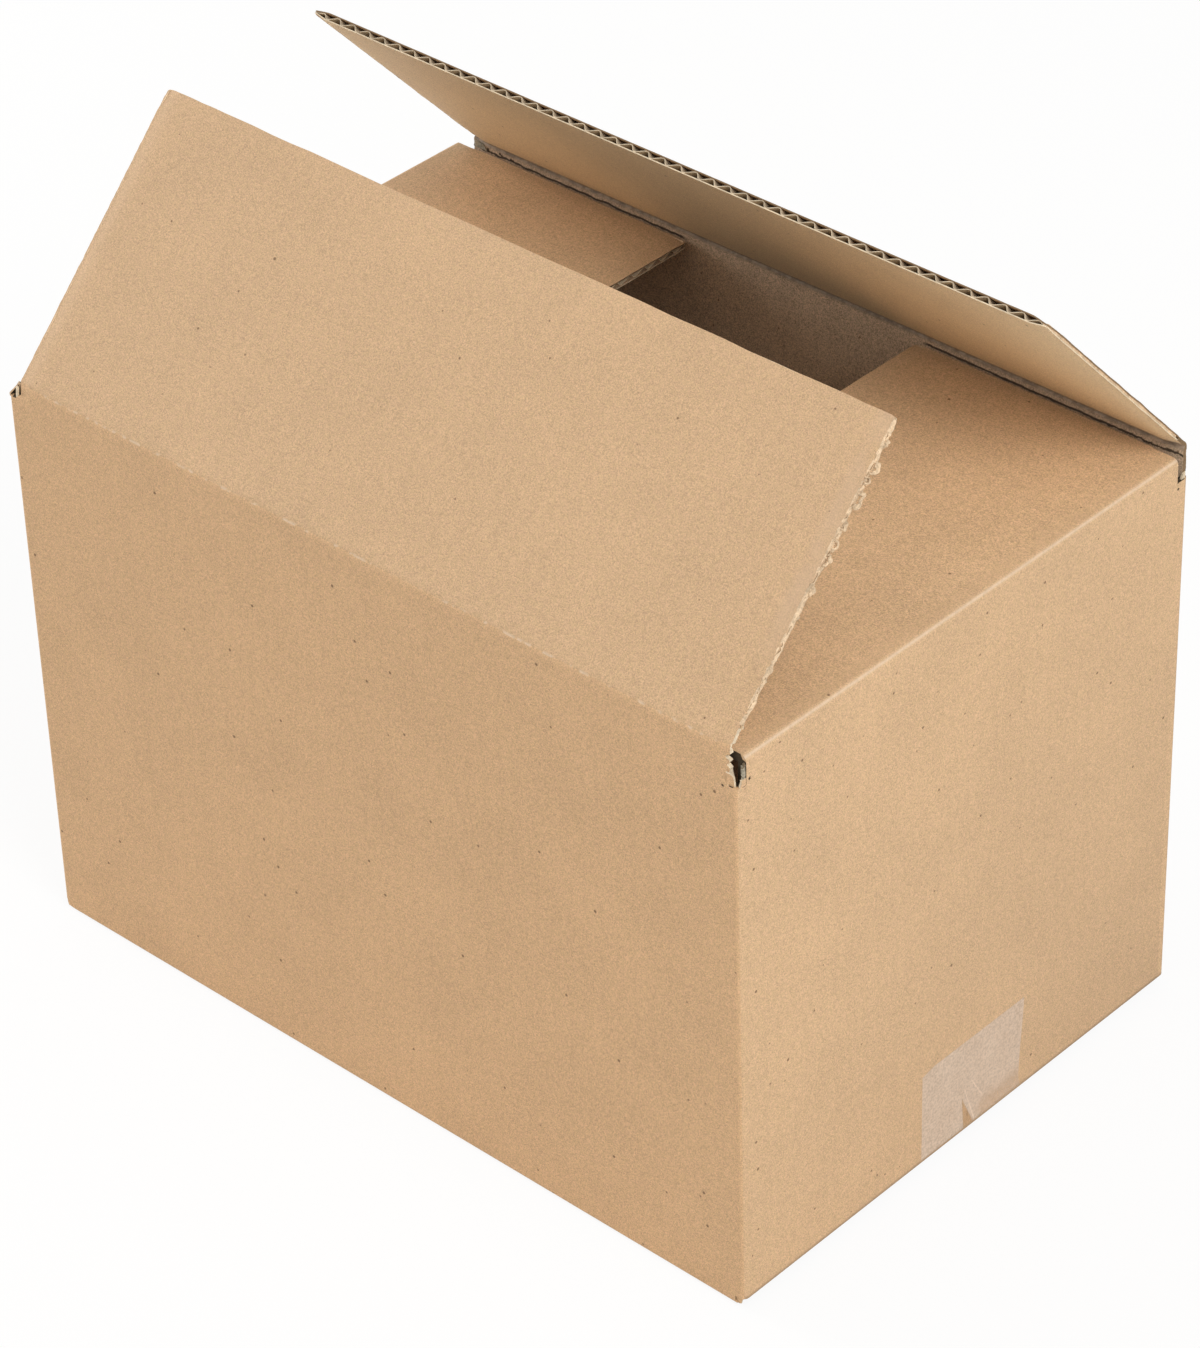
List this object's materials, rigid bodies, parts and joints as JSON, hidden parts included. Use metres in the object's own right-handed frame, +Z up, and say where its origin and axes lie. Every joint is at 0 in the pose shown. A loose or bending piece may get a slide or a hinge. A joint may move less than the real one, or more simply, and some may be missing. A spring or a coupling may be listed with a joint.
{
  "type": "open cardboard box",
  "caption": "Open slotted carton of single-wall corrugated board with hinged long flaps half raised over its closed end flaps and a taped bottom seam.",
  "frame": {"origin": "centre of the footprint on the surface the carton stands on", "axes": "+X along the long side, +Y from front to back, +Z up"},
  "size_m": [0.2922, 0.2, 0.2748],
  "materials": {
    "kraft_board": "matte uncoated kraft",
    "clear_tape": "satin film"
  },
  "bodies": {
    "carton": {"carton_body": "kraft_board", "bottom_tape": "clear_tape"},
    "front_flap": {"front_flap": "kraft_board"},
    "back_flap": {"back_flap": "kraft_board"}
  },
  "joints": [
    {"name": "front_flap_fold", "type": "hinge", "parent": "carton", "child": "front_flap", "pos_m": [0, -0.1, 0.202], "axis": [1, 0, 0], "range_deg": [-46, 178]},
    {"name": "back_flap_fold", "type": "hinge", "parent": "carton", "child": "back_flap", "pos_m": [0, 0.1, 0.202], "axis": [-1, 0, 0], "range_deg": [-47, 177]}
  ]
}
